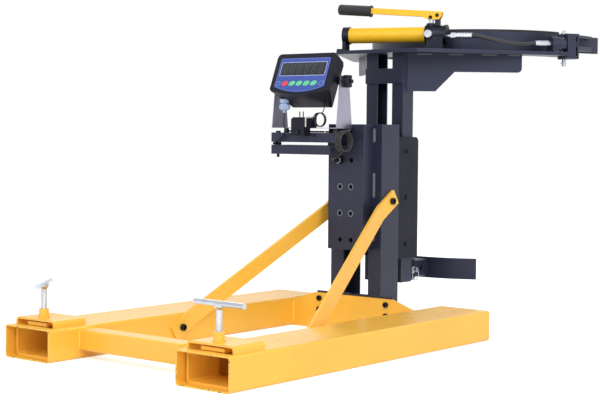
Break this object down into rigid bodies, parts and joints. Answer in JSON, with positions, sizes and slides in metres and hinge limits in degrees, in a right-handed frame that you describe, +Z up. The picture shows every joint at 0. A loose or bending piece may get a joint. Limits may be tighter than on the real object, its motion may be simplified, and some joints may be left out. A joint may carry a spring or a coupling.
{
  "type": "forklift drum lifter",
  "caption": "Fork mounted drum lifter: two fork pockets with screw clamps, a braced weighing mast with an indicator, and a curved drum clamp closed by a hand pumped cylinder.",
  "frame": {"origin": "on the floor plane midway between the fork pockets, under the middle of the rear cross plate", "axes": "+X from the pocket mouths towards the drum along the pockets, +Y across to the side of the indicator, +Z up"},
  "size_m": [1.6156, 0.7846, 0.9144],
  "materials": {
    "yellow_paint": "satin yellow powder coat",
    "dark_paint": "semi-gloss dark grey paint",
    "zinc": "bright zinc plating",
    "black_steel": "blackened steel",
    "cell_steel": "machined steel",
    "pad_steel": "plain steel",
    "stainless": "satin stainless sheet",
    "nylon": "natural nylon",
    "lining_rubber": "ribbed black rubber",
    "grip_rubber": "moulded black rubber",
    "black_plastic": "moulded black plastic",
    "panel_blue": "printed blue membrane",
    "plug_blue": "pale blue plastic",
    "cable_black": "black cable jacket"
  },
  "bodies": {
    "frame": {"fork_pocket_near": "yellow_paint", "fork_pocket_far": "yellow_paint", "front_crossbar": "yellow_paint", "rear_cross_plate": "yellow_paint", "clamp_ring_near": "yellow_paint", "clamp_ring_far": "yellow_paint", "mast_base_plate": "dark_paint", "mast_post_near": "dark_paint", "mast_post_far": "dark_paint", "load_cell_housing": "dark_paint", "guide_cheeks": "dark_paint", "braces": "yellow_paint", "frame_bolts": "black_steel", "load_cell": "cell_steel", "mast_screws": "black_steel", "guide_pads": "nylon", "indicator_arm": "dark_paint", "indicator_tray": "dark_paint", "stand_feet": "grip_rubber", "indicator_stand": "stainless", "cable_gland": "black_plastic", "load_cell_cable": "cable_black", "charger": "black_plastic", "charger_lead": "cable_black"},
    "pad_near": {"pressure_pad_near": "pad_steel"},
    "pad_far": {"pressure_pad_far": "pad_steel"},
    "screw_near": {"clamp_screw_near": "zinc"},
    "screw_far": {"clamp_screw_far": "zinc"},
    "lift_frame": {"inner_post_near": "dark_paint", "inner_post_far": "dark_paint", "mast_crosspieces": "dark_paint", "hanger_arm": "dark_paint", "top_plate": "dark_paint", "arm_webs": "dark_paint", "clamp_band": "dark_paint", "band_lining": "lining_rubber", "arm_receiver": "dark_paint", "lower_arm": "dark_paint", "clamp_cylinder": "dark_paint", "cylinder_saddle": "dark_paint", "pump_reservoir": "yellow_paint", "pump_head": "black_steel", "pump_end_cap": "black_plastic", "hose_fittings": "zinc", "pump_hose": "cable_black", "pivot_pin": "zinc"},
    "jaw": {"jaw": "dark_paint", "jaw_lining": "lining_rubber"},
    "rod": {"cylinder_rod": "zinc"},
    "handle": {"handle_lever": "yellow_paint", "handle_grip": "grip_rubber"},
    "plunger": {"pump_plunger": "zinc"},
    "valve": {"release_valve": "zinc"},
    "lock_pin": {"lock_pin": "zinc"},
    "tray_lever": {"tray_lever": "black_plastic"},
    "indicator": {"indicator_case": "black_plastic", "indicator_panel": "panel_blue", "indicator_plug": "plug_blue"},
    "knob_near": {"knob_near": "black_plastic"},
    "knob_far": {"knob_far": "black_plastic"}
  },
  "joints": [
    {"name": "screw_turn_near", "type": "hinge", "parent": "pad_near", "child": "screw_near", "pos_m": [-0.853, -0.289, 0.09], "axis": [0, 0, 1], "range_deg": [-5400, 0]},
    {"name": "screw_turn_far", "type": "hinge", "parent": "pad_far", "child": "screw_far", "pos_m": [-0.853, 0.289, 0.09], "axis": [0, 0, 1], "range_deg": [-5400, 0]},
    {"name": "pad_slide_near", "type": "slide", "parent": "frame", "child": "pad_near", "axis": [0, 0, 1], "range_m": [-0.0301, 0]},
    {"name": "pad_slide_far", "type": "slide", "parent": "frame", "child": "pad_far", "axis": [0, 0, 1], "range_m": [-0.0301, 0]},
    {"name": "mast_float", "type": "slide", "parent": "frame", "child": "lift_frame", "axis": [0, 0, 1], "range_m": [0, 0.003]},
    {"name": "jaw_swing", "type": "hinge", "parent": "lift_frame", "child": "jaw", "pos_m": [0.524, -0.35, 0.8], "axis": [0, 0, 1], "range_deg": [0, 25]},
    {"name": "rod_slide", "type": "slide", "parent": "lift_frame", "child": "rod", "axis": [0.8572, -0.515, 0], "range_m": [0, 0.01158]},
    {"name": "handle_lift", "type": "hinge", "parent": "lift_frame", "child": "handle", "pos_m": [0.22258, -0.11938, 0.878], "axis": [0.9397, 0.342, 0], "range_deg": [-4, 45]},
    {"name": "plunger_slide", "type": "slide", "parent": "lift_frame", "child": "plunger", "axis": [0, 0, 1], "range_m": [-0.0015, 0.01542]},
    {"name": "valve_turn", "type": "hinge", "parent": "lift_frame", "child": "valve", "pos_m": [0.18789, -0.11179, 0.825], "axis": [0.9397, 0.342, 0], "range_deg": [0, 180]},
    {"name": "lock_pin_pull", "type": "slide", "parent": "lift_frame", "child": "lock_pin", "axis": [0, -1, 0], "range_m": [0, 0.075]},
    {"name": "tray_lever_turn", "type": "hinge", "parent": "frame", "child": "tray_lever", "pos_m": [-0.097, 0.192, 0.518], "axis": [0, 0, 1], "range_deg": [-60, 2]},
    {"name": "indicator_tilt", "type": "hinge", "parent": "frame", "child": "indicator", "pos_m": [-0.071, 0.09, 0.687], "axis": [0, 1, 0], "range_deg": [0, 20]},
    {"name": "knob_turn_near", "type": "hinge", "parent": "indicator", "child": "knob_near", "pos_m": [-0.071, -0.03, 0.687], "axis": [0, 1, 0], "range_deg": [0, 90]},
    {"name": "knob_turn_far", "type": "hinge", "parent": "indicator", "child": "knob_far", "pos_m": [-0.071, 0.21, 0.687], "axis": [0, 1, 0], "range_deg": [0, 90]}
  ],
  "couplings": [
    {"joint": "pad_slide_near", "follows": "screw_turn_near", "m_per_rad": 0.0003183},
    {"joint": "pad_slide_far", "follows": "screw_turn_far", "m_per_rad": 0.0003183},
    {"joint": "rod_slide", "follows": "jaw_swing", "m_per_rad": 0.0263},
    {"joint": "plunger_slide", "follows": "handle_lift", "m_per_rad": 0.0195}
  ]
}
